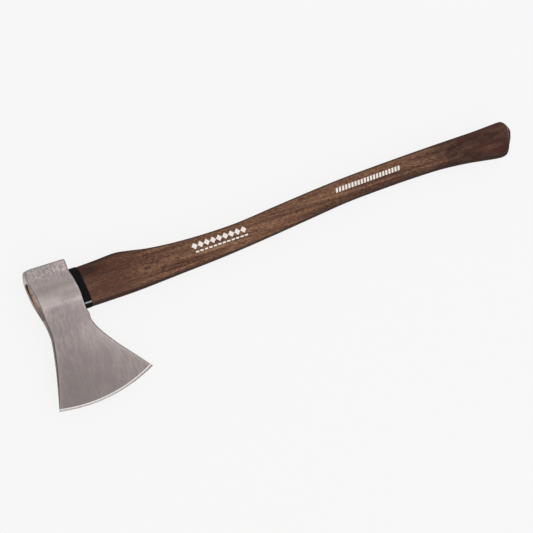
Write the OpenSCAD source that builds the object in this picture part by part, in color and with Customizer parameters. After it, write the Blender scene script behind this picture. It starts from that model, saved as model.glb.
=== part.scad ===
// Felling axe: a forged head hung on a curved hickory handle.
// The axe lies on its side. The handle runs along +X, the poll faces +Y, the cutting
// edge faces -Y, and Z is the thickness. The outlines are drawn around the middle of
// the eye, with X along the handle, and then moved so that the axe rests on z = 0.

/* [Head] */
// Height of the head, from the poll face to the lowest point of the cutting edge
head_height = 181; // [165:1:200]
// Height of the poll face above the middle of the eye
poll_height = 40.6; // [38:0.2:46]
// Width of the poll and of the eye's walls, along the handle
head_width = 55; // [50:1:60]
// Straight distance from the toe to the heel of the cutting edge
bit_width = 133.5; // [122:0.5:145]
// Radius of the curved cutting edge, seen from the side
edge_radius = 210; // [160:5:300]
// Thickness of the head across the eye
head_thick = 37.4; // [35:0.2:42]
// Thickness of the poll
poll_thick = 24; // [20:1:28]
// Lean of the head's top and front faces away from square to the handle, in degrees
face_lean = 8; // [6:0.5:9]
// Radius that rounds the long edges of the blade
head_round = 2; // [1:0.25:2.5]
// Radius that rounds the corners of the poll
poll_round = 5; // [3:0.5:6]
// Width of the ground strip along the cutting edge
bevel_width = 2.6; // [1.5:0.1:4]
// Thickness of the head where the ground strip starts
bevel_thick = 2.8; // [2:0.2:4]

/* [Eye] */
// Length of the eye, from its poll end to its bit end
eye_length = 50; // [46:1:52]
// Width of the eye, across the head
eye_width = 20; // [18:0.5:22]
// Gap between the tenon and the wall of the eye
fit_gap = 0.05; // [0.03:0.01:0.1]

/* [Wedges] */
// Thickness of the wooden wedge at its outer end
wedge_thick = 5.6; // [4:0.2:7]
// Depth to which the wooden wedge is driven
wedge_depth = 36; // [28:1:42]
// Width of each steel wedge, across the tenon
steel_width = 15; // [12:1:16]
// Thickness of each steel wedge at its outer end
steel_thick = 2.4; // [1.6:0.2:3]
// Depth to which each steel wedge is driven
steel_depth = 22; // [16:1:26]
// Distance between the two steel wedges
steel_spacing = 20; // [16:1:24]

/* [Collar] */
// Length of the collar between the head and the shoulder, on the handle's axis
collar_length = 10.4; // [9:0.2:14]
// How far the collar stands out beyond the wood
collar_proud = 0.6; // [0.2:0.1:1]

/* [Handle] */
// Distance from the middle of the eye's top face to the end of the knob
handle_length = 704.5; // [660:0.5:760]
// Height of the handle at the shoulder, next to the collar
shoulder_height = 53; // [51:0.2:56]
// Thickness of the handle at the shoulder
shoulder_thick = 25.6; // [24:0.2:28]
// Height of the handle at the grip
grip_height = 32.4; // [30:0.2:36]
// Thickness of the handle at the grip
grip_thick = 22; // [20:0.5:25]
// Height of the knob
knob_height = 47.4; // [43:0.2:52]
// Thickness of the knob
knob_thick = 28; // [25:0.5:32]
// How far the grip's centre line lies above the middle of the eye
grip_rise = 20.8; // [14:0.2:26]

/* [Hidden] */

$fn = 48;
lean = tan(face_lean);
head_half = head_thick / 2;
poll_half = poll_thick / 2;
bit_drop = head_height - poll_height;
edge_half = 0.2;

// Corners of the cutting edge, whose chord is not quite parallel to the handle.
bit_tilt = 7.3;
toe = [-13.8, -bit_drop + 2.9];
heel = toe + bit_width * [cos(bit_tilt), sin(bit_tilt)];
edge_bulge = edge_radius - sqrt(edge_radius ^ 2 - bit_width ^ 2 / 4);

// The tenon's end is cut nearly square, so it is sunk into the eye at the poll end.
tenon_lean = 0.07;
tenon_mid = 1.2;
tenon_overlap = 12;
collar_lean = 0.09;
collar_far = head_width + collar_length;
shoulder_x = collar_far + fit_gap;

// How far shapes that only cut others reach past the head and the collar.
reach = 200;

// The wedges' outer ends start outside the wood and are cut flush with it.
wedge_start = -5;
wedge_tip = 1;
steel_tip = 0.5;
steel_proud = 0.3;

// Rows across the head, from the poll to the cutting edge. Each row holds the toe side's
// x and y, the heel side's x and y, the half thickness at the sides and in the middle,
// the bulge towards the edge and the radius that rounds its sides. A face row lies on
// the leaning top and front faces, drawn in at either end by the poll's rounded corners.
function face_row(y, side, middle, round = head_round, toe_in = 0, heel_in = 0) =
    [-lean * y + toe_in, y, head_width - lean * y - heel_in, y, side, middle, 0, round];
function blade_row(toe_side, heel_side, side, middle, bulge, round = head_round) =
    [each toe_side, each heel_side, side, middle, bulge, round];

HEAD_ROWS = [
    face_row(poll_height, poll_half - 2.4, poll_half - 1.6, 2, 9, 0.9),
    face_row(poll_height - 0.4, poll_half - 1.2, poll_half - 0.6, 3, 6.4, -0.7),
    face_row(poll_height - 1.8, poll_half - 0.4, poll_half, 4, 4.6, -1.5),
    face_row(0.82 * poll_height, poll_half, poll_half + 0.5, poll_round, 1.6, -1.4),
    face_row(0.64 * poll_height, poll_half + 0.8, poll_half + 1.4, 3.5),
    face_row(0.4 * poll_height, 0.84 * head_half, 0.86 * head_half),
    face_row(0.2 * poll_height, 0.96 * head_half, 0.97 * head_half),
    face_row(0, head_half, head_half),
    face_row(-0.2 * poll_height, 0.87 * head_half, 0.89 * head_half),
    face_row(-0.4 * poll_height, 0.66 * head_half, 0.72 * head_half),
    face_row(-0.67 * poll_height, 0.44 * head_half, 0.56 * head_half),
    blade_row([5.2, -0.265 * bit_drop], [head_width + 5.8, -0.235 * bit_drop],
        0.36 * head_half, 0.52 * head_half, 0.09 * edge_bulge),
    blade_row([5.6, -0.34 * bit_drop], [head_width + 5.8, -0.285 * bit_drop],
        0.31 * head_half, 0.49 * head_half, 0.23 * edge_bulge),
    blade_row([4.6, -0.41 * bit_drop], [head_width + 9.2, -0.355 * bit_drop],
        0.29 * head_half, 0.46 * head_half, 0.37 * edge_bulge),
    blade_row([1.9, -0.52 * bit_drop], [head_width + 17, -0.45 * bit_drop],
        0.27 * head_half, 0.4 * head_half, 0.55 * edge_bulge),
    blade_row([-2.6, -0.67 * bit_drop], [head_width + 30.5, -0.58 * bit_drop],
        0.23 * head_half, 0.32 * head_half, 0.75 * edge_bulge),
    blade_row([-7.9, -0.82 * bit_drop], [head_width + 46, -0.71 * bit_drop],
        0.17 * head_half, 0.22 * head_half, 0.95 * edge_bulge),
    blade_row(toe + [0.3, bevel_width], heel + [-2.2, bevel_width],
        bevel_thick / 2 - 0.1, bevel_thick / 2, edge_bulge, 0.5)
];
EDGE_ROW = blade_row(toe, heel, edge_half, edge_half, edge_bulge, 0.1);

// Rows of the handle from shoulder to knob: [percent of its length, centre line y,
// height, thickness, lean of the row]. The knob ends in a blunt dome that leans upwards.
HANDLE_ROWS = [
    [0, -0.1, shoulder_height, shoulder_thick, collar_lean],
    [4, 0.6, shoulder_height + 1, shoulder_thick - 0.2, 0.03],
    [8, 1.5, shoulder_height + 2.2, shoulder_thick - 0.6, 0],
    [11, 0.5, shoulder_height - 1, shoulder_thick - 1, 0],
    [15, -1, shoulder_height - 6.8, shoulder_thick - 1.6, 0],
    [21, -1.5, grip_height + 8.1, grip_thick + 1.4, 0],
    [28, -0.8, grip_height + 4.4, grip_thick + 0.8, 0],
    [35, 1.6, grip_height + 2, grip_thick + 0.4, 0],
    [43, 0.31 * grip_rise, grip_height + 1.9, grip_thick, 0],
    [51, 0.55 * grip_rise, grip_height + 1.2, grip_thick, 0],
    [59, 0.77 * grip_rise, grip_height, grip_thick, 0],
    [67, 0.89 * grip_rise, grip_height, grip_thick, 0],
    [75, 0.97 * grip_rise, grip_height + 0.6, grip_thick + 0.4, 0],
    [82, grip_rise, grip_height + 2, grip_thick + 1, 0],
    [88, grip_rise - 0.9, knob_height - 9.4, knob_thick - 3.6, 0],
    [92, grip_rise - 2.2, knob_height - 5.6, knob_thick - 1.6, 0],
    [96, grip_rise - 3.2, knob_height - 1, knob_thick, -0.04],
    [98, grip_rise - 2.8, knob_height - 0.4, knob_thick - 0.8, -0.14],
    [98.75, grip_rise - 2, knob_height - 4.9, knob_thick - 3.2, -0.16],
    [99.3, grip_rise - 1, knob_height - 13.6, knob_thick - 8.4, -0.2],
    [99.7, grip_rise - 1.3, knob_height - 21.2, knob_thick - 12.4, -0.27],
    [100, grip_rise - 2, knob_height - 28.9, knob_thick - 15.5, -0.38]
];

// A smooth curve through four rows of numbers, at t from the second to the third.
function blend_rows(a, b, c, d, t) =
    b + 0.5 * t * (c - a)
    + t ^ 2 * (a - 2.5 * b + 2 * c - 0.5 * d)
    + t ^ 3 * (1.5 * (b - c) + 0.5 * (d - a));

// All the given rows with smooth rows between them.
function smooth_rows(rows, steps) = [
    for (i = [0 : len(rows) - 2], k = [0 : steps - 1])
        blend_rows(rows[max(i - 1, 0)], rows[i], rows[i + 1],
            rows[min(i + 2, len(rows) - 1)], k / steps),
    rows[len(rows) - 1]
];

// Angles around the head's rounded sides, places across it between them, and the
// largest share of the sides' half thickness that the rounding may take.
ROUND_STEPS = [0, 30, 60, 90];
ACROSS = [0.15, 0.3, 0.5, 0.7, 0.85];
ROUND_SHARE = 0.45;

// One point of a head row: u is 0 at the toe side and 1 at the heel side.
function head_point(row, u, z) =
    let (start = [row[0], row[1]], end = [row[2], row[3]],
        along = (end - start) / norm(end - start),
        bulge = row[6] * 4 * u * (1 - u))
    [each start + u * (end - start) + bulge * [along.y, -along.x], z];

// Half thickness of the head across a row, between its two sides.
function head_half_at(row, u) = row[4] + (row[5] - row[4]) * 4 * u * (1 - u);

// The upper half of a head row, from the toe side to the heel side.
function head_arc(row) =
    let (wide = norm([row[2] - row[0], row[3] - row[1]]),
        r = min(row[7], ROUND_SHARE * row[4]),
        near = [for (a = ROUND_STEPS) [r * (1 - cos(a)) / wide, r * (1 - sin(a))]],
        far = [for (i = [len(near) - 1 : -1 : 0]) [1 - near[i][0], near[i][1]]],
        spots = [each near, each [for (u = ACROSS) [u, 0]], each far])
    [for (spot = spots) head_point(row, spot[0], head_half_at(row, spot[0]) - spot[1])];

// A closed ring: the upper half, then the same points mirrored below.
function head_ring(row) =
    let (top = head_arc(row), n = len(top))
    concat(top, [for (i = [n - 1 : -1 : 0]) [top[i].x, top[i].y, -top[i].z]]);

// A closed ring of the handle, as a rounded oval in a plane that may lean.
oval_power = 2.5;
ring_points = 28;
function oval(height, thick) = [
    for (i = [0 : ring_points - 1]) let (a = 360 * i / ring_points)
        [height / 2 * sign(cos(a)) * abs(cos(a)) ^ (2 / oval_power),
         thick / 2 * sign(sin(a)) * abs(sin(a)) ^ (2 / oval_power)]
];
function handle_ring(row) =
    let (x = shoulder_x + (handle_length - shoulder_x) * row[0] / 100)
    [for (p = oval(row[2], row[3])) [x - row[4] * p.x, row[1] + p.x, p.y]];

HEAD_RINGS = [for (row = [each smooth_rows(HEAD_ROWS, 2), EDGE_ROW]) head_ring(row)];
HANDLE_RINGS = [for (row = smooth_rows(HANDLE_ROWS, 2)) handle_ring(row)];

// The axe's box, which puts the origin in the middle of its underside.
function all_points(rings) = [for (ring = rings) each ring];
head_points = all_points(HEAD_RINGS);
handle_points = all_points(HANDLE_RINGS);
low_x = min([for (p = head_points) p.x]);
high_x = max([for (p = handle_points) p.x]);
low_y = min([for (p = head_points) p.y]);
high_y = max([for (p = concat(head_points, handle_points)) p.y]);
rest_shift = [-(low_x + high_x) / 2, -(low_y + high_y) / 2, head_half];

// Faces of the skin between rings that each have n points.
function skin_faces(count, n) = [
    for (j = [0 : count - 2], i = [0 : n - 1]) let (k = (i + 1) % n)
        each [[j * n + i, j * n + k, (j + 1) * n + k],
              [j * n + i, (j + 1) * n + k, (j + 1) * n + i]]
];

// Strips that close an end ring whose two halves mirror each other.
function strip_faces(first, n) = [
    for (i = [0 : n / 2 - 2])
        each [[first + i, first + n - 1 - i, first + n - 2 - i],
              [first + i, first + n - 2 - i, first + i + 1]]
];
function flipped(faces) = [for (f = faces) [for (i = [len(f) - 1 : -1 : 0]) f[i]]];

// Outline of the eye, long along Y with round ends, drawn smaller by a gap.
module eye_outline(gap) {
    r = eye_width / 2 - gap;
    run = (eye_length - eye_width) / 2;
    translate([-r, -run])
        square([2 * r, 2 * run]);
    for (side = [-1, 1])
        translate([0, side * run])
            circle(r);
}

// Stands an outline across the handle and extrudes it along +X.
module along_handle(from, to) {
    translate([from, 0, 0])
        rotate([0, 90, 0])
            linear_extrude(height = to - from)
                children();
}

// Everything past a plane that crosses the eye's axis at x and leans with y.
module beyond(x, slope) {
    translate([x, 0, 0])
        rotate([0, 0, atan(slope)])
            translate([0, -reach, -reach])
                cube(2 * reach);
}

// A wedge that narrows along +X, with its thickness along Y and its width along Z.
module blade(width, depth, thick, tip) {
    linear_extrude(height = width, center = true)
        polygon([[0, -thick / 2], [depth, -tip / 2], [depth, tip / 2], [0, thick / 2]]);
}

// The wooden wedge's full blade, as long as the eye.
module wooden_blade() {
    translate([wedge_start, 0, 0])
        rotate([90, 0, 0])
            blade(eye_length, wedge_depth, wedge_thick, wedge_tip);
}

// Both steel wedges' blades, or one of them, set across the tenon.
module steel_blade(side) {
    translate([wedge_start, side * steel_spacing / 2, 0])
        blade(steel_width, steel_depth, steel_thick, steel_tip);
}

module axe_head() {
    n = len(HEAD_RINGS[0]);
    last = len(HEAD_RINGS) - 1;
    faces = concat(skin_faces(last + 1, n), strip_faces(0, n),
        flipped(strip_faces(last * n, n)));
    color([0.60, 0.57, 0.55])
        translate(rest_shift)
            difference() {
                polyhedron(head_points, faces, convexity = 6);
                along_handle(-reach, reach)
                    eye_outline(0);
            }
}

// One piece of wood: the curved shaft and the tenon, slotted for its wedges.
module handle() {
    n = ring_points;
    last = len(HANDLE_RINGS) - 1;
    caps = [[for (i = [n - 1 : -1 : 0]) i], [for (i = [0 : n - 1]) last * n + i]];
    faces = flipped(concat(skin_faces(last + 1, n), caps));
    color([0.35, 0.24, 0.19])
        translate(rest_shift) {
            polyhedron(handle_points, faces, convexity = 4);
            difference() {
                intersection() {
                    along_handle(-reach, shoulder_x + tenon_overlap)
                        eye_outline(fit_gap);
                    beyond(tenon_mid, tenon_lean);
                }
                wooden_blade();
                for (side = [-1, 1])
                    steel_blade(side);
            }
        }
}

// Hardwood wedge that spreads the tenon, cut flush with the tenon's end.
module eye_wedge() {
    color([0.72, 0.55, 0.38])
        translate(rest_shift)
            difference() {
                intersection() {
                    wooden_blade();
                    along_handle(-reach, head_width)
                        eye_outline(fit_gap);
                    beyond(tenon_mid, tenon_lean);
                }
                for (side = [-1, 1])
                    steel_blade(side);
            }
}

// Steel wedge driven across the tenon and the wooden wedge.
module steel_wedge(side) {
    color([0.45, 0.45, 0.46])
        translate(rest_shift)
            intersection() {
                steel_blade(side);
                beyond(tenon_mid - steel_proud, tenon_lean);
            }
}

module steel_wedge_1() {
    steel_wedge(1);
}

module steel_wedge_2() {
    steel_wedge(-1);
}

// Black sleeve around the tenon, between the head's front face and the shoulder.
module collar() {
    color([0.07, 0.07, 0.08])
        translate(rest_shift)
            difference() {
                intersection() {
                    along_handle(-reach, reach)
                        rotate(90)
                            polygon(oval(shoulder_height + 2 * collar_proud,
                                shoulder_thick + 2 * collar_proud));
                    beyond(head_width + fit_gap, lean);
                }
                beyond(collar_far, collar_lean);
                along_handle(-reach, reach)
                    eye_outline(0);
            }
}

axe_head();
handle();
eye_wedge();
steel_wedge_1();
steel_wedge_2();
collar();
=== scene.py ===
"""Looks of the felling axe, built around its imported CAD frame.

Shapes are drawn in millimetres around the middle of the eye, with X along the handle,
+Y towards the poll and Z across the head, and are then moved into the row's frame.
"""

import itertools
import math

import bmesh
import bpy
import numpy as np
from mathutils import Matrix, Vector, noise
from mathutils.kdtree import KDTree


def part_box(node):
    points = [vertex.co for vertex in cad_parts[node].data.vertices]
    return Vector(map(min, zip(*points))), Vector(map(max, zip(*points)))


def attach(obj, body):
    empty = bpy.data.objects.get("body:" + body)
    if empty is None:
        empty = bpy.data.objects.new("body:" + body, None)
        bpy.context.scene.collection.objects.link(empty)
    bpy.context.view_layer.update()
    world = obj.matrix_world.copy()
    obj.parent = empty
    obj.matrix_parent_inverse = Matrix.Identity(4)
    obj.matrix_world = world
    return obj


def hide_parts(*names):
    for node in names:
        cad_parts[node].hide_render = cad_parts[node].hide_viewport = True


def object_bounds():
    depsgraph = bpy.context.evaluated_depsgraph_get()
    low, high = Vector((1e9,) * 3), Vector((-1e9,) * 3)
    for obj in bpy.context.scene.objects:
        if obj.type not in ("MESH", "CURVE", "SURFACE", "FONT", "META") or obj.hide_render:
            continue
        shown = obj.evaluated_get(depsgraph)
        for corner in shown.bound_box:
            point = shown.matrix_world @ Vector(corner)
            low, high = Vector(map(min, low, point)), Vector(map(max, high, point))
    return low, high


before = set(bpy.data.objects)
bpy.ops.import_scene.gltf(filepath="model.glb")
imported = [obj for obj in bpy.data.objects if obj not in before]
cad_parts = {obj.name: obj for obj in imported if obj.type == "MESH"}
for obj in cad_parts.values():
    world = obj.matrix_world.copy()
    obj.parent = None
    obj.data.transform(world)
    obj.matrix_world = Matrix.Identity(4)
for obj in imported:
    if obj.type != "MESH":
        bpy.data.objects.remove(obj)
CAD_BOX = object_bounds()

MM = 0.001

# -------- sizes, in millimetres
# The head. A half is half of a thickness.
HEAD_HEIGHT = 181.0
POLL_HEIGHT = 40.6
HEAD_WIDTH = 55.0
BIT_WIDTH = 133.5
BIT_TILT = math.radians(7.3)
EDGE_RADIUS = 210.0
EDGE_HALF = 0.2
HEAD_HALF = 18.7
POLL_HALF = 12.0
LEAN = math.tan(math.radians(8.0))
HEAD_ROUND = 2.0
POLL_ROUND = 5.0
BIT_DROP = HEAD_HEIGHT - POLL_HEIGHT
EDGE_BULGE = EDGE_RADIUS - math.sqrt(EDGE_RADIUS**2 - BIT_WIDTH**2 / 4)
TOE = np.array([-13.8, 2.9 - BIT_DROP])
HEEL = TOE + BIT_WIDTH * np.array([math.cos(BIT_TILT), math.sin(BIT_TILT)])
EDGE_WEAR = 2.0
WAVE_DEPTH = 0.1

# The ground strip along the edge, whose outer part is a steeper bevel.
BEVEL_WIDTH = 2.6
BEVEL_HALF = 1.4
MICRO_HALF = 0.92
MICRO_SHARE = 0.35
STRIP_START = 0.3
STRIP_MARGIN = 0.8
STRIP_TOE = TOE + [0.3, BEVEL_WIDTH]
STRIP_HEEL = HEEL + [-2.2, BEVEL_WIDTH]

# The eye, whose outline is a slot with round ends.
EYE_LENGTH = 50.0
EYE_WIDTH = 20.0
EYE_RADIUS = EYE_WIDTH / 2
EYE_RUN = (EYE_LENGTH - EYE_WIDTH) / 2
FIT_GAP = 0.05
RIM = 0.7

# The tenon's end and the wedges in it.
TENON_MID = 1.2
TENON_LEAN = 0.07
WEDGE_START = -5.0
WEDGE_DEPTH = 36.0
WEDGE_THICK = 5.6
WEDGE_TIP = 1.0
WEDGE_ROOM = 0.04
STEEL_DEPTH = 22.0
STEEL_WIDTH = 15.0
STEEL_THICK = 2.4
STEEL_TIP = 0.5
STEEL_SPACING = 20.0
STEEL_PROUD = 0.3

# The collar and the painted highlight line on it.
COLLAR_FAR = 65.4
COLLAR_LEAN = 0.09
COLLAR_PROUD = 0.6
COLLAR_RIM = 0.9
COLLAR_HIGHLIGHT = (-21.8, -18.8)

# The handle. Its main sections are given as height and thickness.
SHOULDER_X = COLLAR_FAR + FIT_GAP
HANDLE_LENGTH = 704.5
SHOULDER = (53.0, 25.6)
GRIP = (32.4, 22.0)
KNOB = (47.4, 28.0)
GRIP_RISE = 20.8
OVAL_POWER = 2.5
PRINT_TOP = 0.07
PRINT_UNDERSIDE = -0.05

# Where the looks change: across the head (Y) and along it (X), then along the handle.
NECK_Y, BIT_Y = -30, -115
HEAD_MID_X, HEEL_X = 20, 115
DARKER_Y = (4, -16)
GRIP_X, KNOB_X = 340, 590
KNOT = (148.4, -2.4, 11.6)

# Points in a ring, smooth rows for each drawn one, and rings that the knob's painted highlight
# covers.
EYE_POINTS = 96
HANDLE_POINTS = 112
COLLAR_POINTS = 128
HEAD_STEPS = 7
HANDLE_STEPS = 10
KNOB_HIGHLIGHT_RINGS = 1.8

# Places in the lists of materials of the head and of the handle.
STRIP, OUTER_BEVEL, EYE_WALL = 1, 2, 3
STAINED, BARE = 0, 1


# -------- rows of the two lofts
def face_row(y, side, middle, rounding=HEAD_ROUND, toe_in=0.0, heel_in=0.0):
    """A row of the head between its leaning top and front faces."""
    toe_x = -LEAN * y + toe_in
    heel_x = HEAD_WIDTH - LEAN * y - heel_in
    return [toe_x, y, heel_x, y, side, middle, 0.0, rounding]


def blade_row(toe, heel, side, middle, bulge, rounding=HEAD_ROUND):
    """A row of the blade: its toe and heel points, half thicknesses, bulge and rounding."""
    return [*toe, *heel, side * HEAD_HALF, middle * HEAD_HALF, bulge * EDGE_BULGE, rounding]


def head_rows():
    """Rows from the poll to the start of the ground strip, and the cutting edge's row.

    Each has its toe's x and y, its heel's x and y, its half thickness at the sides and in
    the middle, how far its middle bulges towards the bit, and its rounding.
    """
    p, t, d, w = POLL_HEIGHT, HEAD_HALF, BIT_DROP, HEAD_WIDTH
    rows = [
        face_row(p, POLL_HALF - 2.4, POLL_HALF - 1.6, 2.0, 9.0, 0.9),
        face_row(p - 0.4, POLL_HALF - 1.2, POLL_HALF - 0.6, 3.0, 6.4, -0.7),
        face_row(p - 1.8, POLL_HALF - 0.4, POLL_HALF, 4.0, 4.6, -1.5),
        face_row(0.82 * p, POLL_HALF, POLL_HALF + 0.5, POLL_ROUND, 1.6, -1.4),
        face_row(0.64 * p, POLL_HALF + 0.8, POLL_HALF + 1.4, 3.5),
        face_row(0.4 * p, 0.84 * t, 0.86 * t),
        face_row(0.2 * p, 0.96 * t, 0.97 * t),
        face_row(0.0, t, t),
        face_row(-0.2 * p, 0.87 * t, 0.89 * t),
        face_row(-0.4 * p, 0.66 * t, 0.72 * t),
        face_row(-0.67 * p, 0.44 * t, 0.56 * t),
        blade_row([5.2, -0.265 * d], [w + 5.8, -0.235 * d], 0.36, 0.52, 0.09),
        blade_row([5.6, -0.34 * d], [w + 5.8, -0.285 * d], 0.31, 0.49, 0.23),
        blade_row([4.6, -0.41 * d], [w + 9.2, -0.355 * d], 0.29, 0.46, 0.37),
        blade_row([1.9, -0.52 * d], [w + 17.0, -0.45 * d], 0.27, 0.40, 0.55),
        blade_row([-2.6, -0.67 * d], [w + 30.5, -0.58 * d], 0.23, 0.32, 0.75),
        blade_row([-7.9, -0.82 * d], [w + 46.0, -0.71 * d], 0.17, 0.22, 0.95),
        [*STRIP_TOE, *STRIP_HEEL, BEVEL_HALF - 0.1, BEVEL_HALF, EDGE_BULGE, 0.5],
    ]
    edge = [*TOE, *HEEL, EDGE_HALF, EDGE_HALF, EDGE_BULGE, 0.1]
    return np.array(rows, float), np.array(edge, float)


def handle_rows():
    """Rows from shoulder to knob: percent of length, centre y, height, thickness, lean."""
    (sh, st), (gh, gt), (kh, kt), r = SHOULDER, GRIP, KNOB, GRIP_RISE
    rows = [
        [0, -0.1, sh, st, COLLAR_LEAN],
        [4, 0.6, sh + 1, st - 0.2, 0.03],
        [8, 1.5, sh + 2.2, st - 0.6, 0],
        [11, 0.5, sh - 1, st - 1, 0],
        [15, -1, sh - 6.8, st - 1.6, 0],
        [21, -1.5, gh + 8.1, gt + 1.4, 0],
        [28, -0.8, gh + 4.4, gt + 0.8, 0],
        [35, 1.6, gh + 2, gt + 0.4, 0],
        [43, 0.31 * r, gh + 1.9, gt, 0],
        [51, 0.55 * r, gh + 1.2, gt, 0],
        [59, 0.77 * r, gh, gt, 0],
        [67, 0.89 * r, gh, gt, 0],
        [75, 0.97 * r, gh + 0.6, gt + 0.4, 0],
        [82, r, gh + 2, gt + 1, 0],
        [88, r - 0.9, kh - 9.4, kt - 3.6, 0],
        [92, r - 2.2, kh - 5.6, kt - 1.6, 0],
        [96, r - 3.2, kh - 1, kt, -0.04],
        [98, r - 2.8, kh - 0.4, kt - 0.8, -0.14],
        [98.75, r - 2, kh - 4.9, kt - 3.2, -0.16],
        [99.3, r - 1, kh - 13.6, kt - 8.4, -0.2],
        [99.7, r - 1.3, kh - 21.2, kt - 12.4, -0.27],
        [100, r - 2, kh - 28.9, kt - 15.5, -0.38],
    ]
    return np.array(rows, float)


def smooth_rows(rows, steps):
    """A smooth curve through the rows, the same one as in the CAD, in steps parts for each row."""
    out = []
    last = len(rows) - 1
    for i in range(last):
        a, b, c, d = rows[max(i - 1, 0)], rows[i], rows[i + 1], rows[min(i + 2, last)]
        for k in range(steps):
            t = k / steps
            out.append(
                b
                + t * 0.5 * (c - a)
                + t**2 * (a - 2.5 * b + 2 * c - 0.5 * d)
                + t**3 * (1.5 * (b - c) + 0.5 * (d - a))
            )
    out.append(rows[last])
    return np.array(out)


HANDLE_CURVE = smooth_rows(handle_rows(), HANDLE_STEPS)


def handle_section(x):
    """The handle's centre y, height and thickness at x, away from its leaning rows."""
    percent = 100 * (x - SHOULDER_X) / (HANDLE_LENGTH - SHOULDER_X)
    return [np.interp(percent, HANDLE_CURVE[:, 0], HANDLE_CURVE[:, k]) for k in (1, 2, 3)]


# -------- mesh helpers
def skin(count, n, closed=False):
    """Quads between count rings of n points each. A closed skin joins the last to the first."""
    quads = []
    for j in range(count if closed else count - 1):
        a, b = j * n, (j + 1) % count * n
        quads += [(a + i, a + (i + 1) % n, b + (i + 1) % n, b + i) for i in range(n)]
    return quads


def new_object(name, points, faces, shift):
    """A mesh object from points in millimetres, with its faces turned outwards."""
    mesh = bpy.data.meshes.new(name)
    placed = (np.asarray(points, float) + shift) * MM
    mesh.from_pydata([tuple(p) for p in placed], [], faces)
    bm = bmesh.new()
    bm.from_mesh(mesh)
    bmesh.ops.recalc_face_normals(bm, faces=bm.faces)
    bm.to_mesh(mesh)
    bm.free()
    obj = bpy.data.objects.new(name, mesh)
    bpy.context.scene.collection.objects.link(obj)
    return obj


def cut(obj, *cutters):
    """Takes the cutters' shapes out of obj and removes them."""
    for cutter in cutters:
        modifier = obj.modifiers.new("cut", "BOOLEAN")
        modifier.operation = "DIFFERENCE"
        modifier.solver = "EXACT"
        modifier.object = cutter
    graph = bpy.context.evaluated_depsgraph_get()
    mesh = bpy.data.meshes.new_from_object(obj.evaluated_get(graph))
    obj.modifiers.clear()
    obj.data = mesh
    for cutter in cutters:
        bpy.data.objects.remove(cutter)


def smooth(obj, angle):
    """Smooth shading, with edges sharper than the angle left crisp."""
    obj.data.shade_smooth()
    obj.data.set_sharp_from_angle(angle=math.radians(angle))


def dress(obj, material, slot, *nodes):
    """Gives a piece its material and body, and hides the CAD nodes it stands for."""
    obj.data.materials.clear()
    for m in material if isinstance(material, list) else [material]:
        obj.data.materials.append(m)
    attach(obj, "root")
    if nodes:
        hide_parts(*nodes)


def stadium(n, gap):
    """The eye's outline in n points: (y, z), long along Y with round ends."""
    r, run = EYE_RADIUS - gap, EYE_RUN
    straight, bend = 2 * run, math.pi * r
    points = []
    for i in range(n):
        s = ((i / n + 0.25) % 1 * 2 - 1) * (straight + bend)
        s %= 2 * (straight + bend)
        if s < straight:
            points.append((run - s, r))
        elif s < straight + bend:
            a = (s - straight) / r
            points.append((-run - r * math.sin(a), r * math.cos(a)))
        elif s < 2 * straight + bend:
            points.append((-run + s - straight - bend, -r))
        else:
            a = (s - 2 * straight - bend) / r
            points.append((run + r * math.sin(a), -r * math.cos(a)))
    return np.array(points)


def oval(n, height, thick):
    """A rounded oval in n points: (y, z)."""
    a = np.arange(n) * 2 * math.pi / n
    y = height / 2 * np.sign(np.cos(a)) * np.abs(np.cos(a)) ** (2 / OVAL_POWER)
    z = thick / 2 * np.sign(np.sin(a)) * np.abs(np.sin(a)) ** (2 / OVAL_POWER)
    return np.stack([y, z], 1)


def even_oval(n, height, thick):
    """The same oval with its points evenly spaced along it, from +Y round by +Z."""
    fine = oval(2048, height, thick)
    fine = np.vstack([fine, fine[:1]])
    run = np.r_[0, np.cumsum(np.linalg.norm(np.diff(fine, axis=0), axis=1))]
    at = np.arange(n) / n * run[-1]
    return np.stack([np.interp(at, run, fine[:, k]) for k in (0, 1)], 1)


def leaning_ring(outline, x, slope, rise=0.0):
    """Stands an outline of (y, z) on a plane that crosses the axis at x."""
    y, z = outline[:, 0], outline[:, 1]
    return np.stack([x - slope * y, y + rise, z], 1)


# -------- the head
ROUND_DEGREES = range(0, 91, 9)
ACROSS = np.linspace(0.0, 1.0, 27)[1:-1]


def head_ring(row):
    """A closed ring of the head, with each point's wear and how much it faces sideways."""
    start, end = row[0:2], row[2:4]
    side, middle, bulge = row[4], row[5], row[6]
    width = np.linalg.norm(end - start)
    along = (end - start) / width
    r = min(row[7], 0.45 * side)
    near = [(r * (1 - math.cos(a)) / width, r * (1 - math.sin(a)))
            for a in map(math.radians, ROUND_DEGREES)]
    far = [(1 - u, drop) for u, drop in reversed(near)]
    edge_u = near[-1][0]
    flat = [(edge_u + (1 - 2 * edge_u) * u, 0.0) for u in ACROSS]
    arc, wear = [], []
    aside = [math.cos(math.radians(a)) for a in ROUND_DEGREES]
    aside = [*aside, *[0.0] * len(flat), *aside[::-1]]
    for u, drop in [*near, *flat, *far]:
        arched = 4 * u * (1 - u)
        xy = start + u * (end - start) + bulge * arched * np.array([along[1], -along[0]])
        arc.append([*xy, side + (middle - side) * arched - drop])
        wear.append(math.exp(-max(0.0, min(u, 1 - u) * width - r) / EDGE_WEAR))
    arc = np.array(arc)
    ring = np.vstack([arc, arc[::-1] * [1, 1, -1]])
    return ring, wear + wear[::-1], aside + aside[::-1]


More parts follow.
